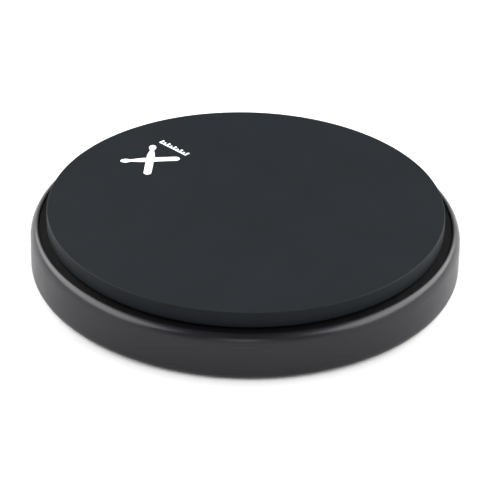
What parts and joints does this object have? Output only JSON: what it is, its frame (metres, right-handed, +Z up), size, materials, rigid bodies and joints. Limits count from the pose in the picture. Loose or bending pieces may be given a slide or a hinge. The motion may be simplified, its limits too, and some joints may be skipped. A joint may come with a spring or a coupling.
{
  "type": "drum practice pad",
  "caption": "Round table-top or stand-mounted drum practice pad: thick black rubber disc on a foam underlay in a dark rounded plastic housing with a recessed channel round the disc.",
  "frame": {"origin": "centre of the face that rests on the table, under the non-slip base", "axes": "+Z up out of the playing surface; +Y from the player towards the printed emblem, the far edge; +X to the player's right"},
  "size_m": [0.305, 0.305, 0.0482],
  "materials": {
    "shell_plastic": "satin",
    "cover_plastic": "matte",
    "grip_foam": "matte",
    "mdf": "matte",
    "black_foam": "matte",
    "black_board": "matte",
    "pad_rubber": "matte",
    "brass": "satin",
    "screw_steel": "satin",
    "white_ink": "matte"
  },
  "bodies": {
    "root": {"housing_shell": "shell_plastic", "bottom_cover": "cover_plastic", "antislip_base": "grip_foam", "core_board": "mdf", "foam_underlay": "black_foam", "backing_plate": "black_board", "playing_pad": "pad_rubber", "thread_insert": "brass", "cover_screw_1": "screw_steel", "cover_screw_2": "screw_steel", "cover_screw_3": "screw_steel", "cover_screw_4": "screw_steel", "cover_screw_5": "screw_steel", "cover_screw_6": "screw_steel", "cover_screw_7": "screw_steel", "cover_screw_8": "screw_steel", "emblem_sticks": "white_ink", "emblem_beat_scale": "white_ink"}
  },
  "joints": []
}
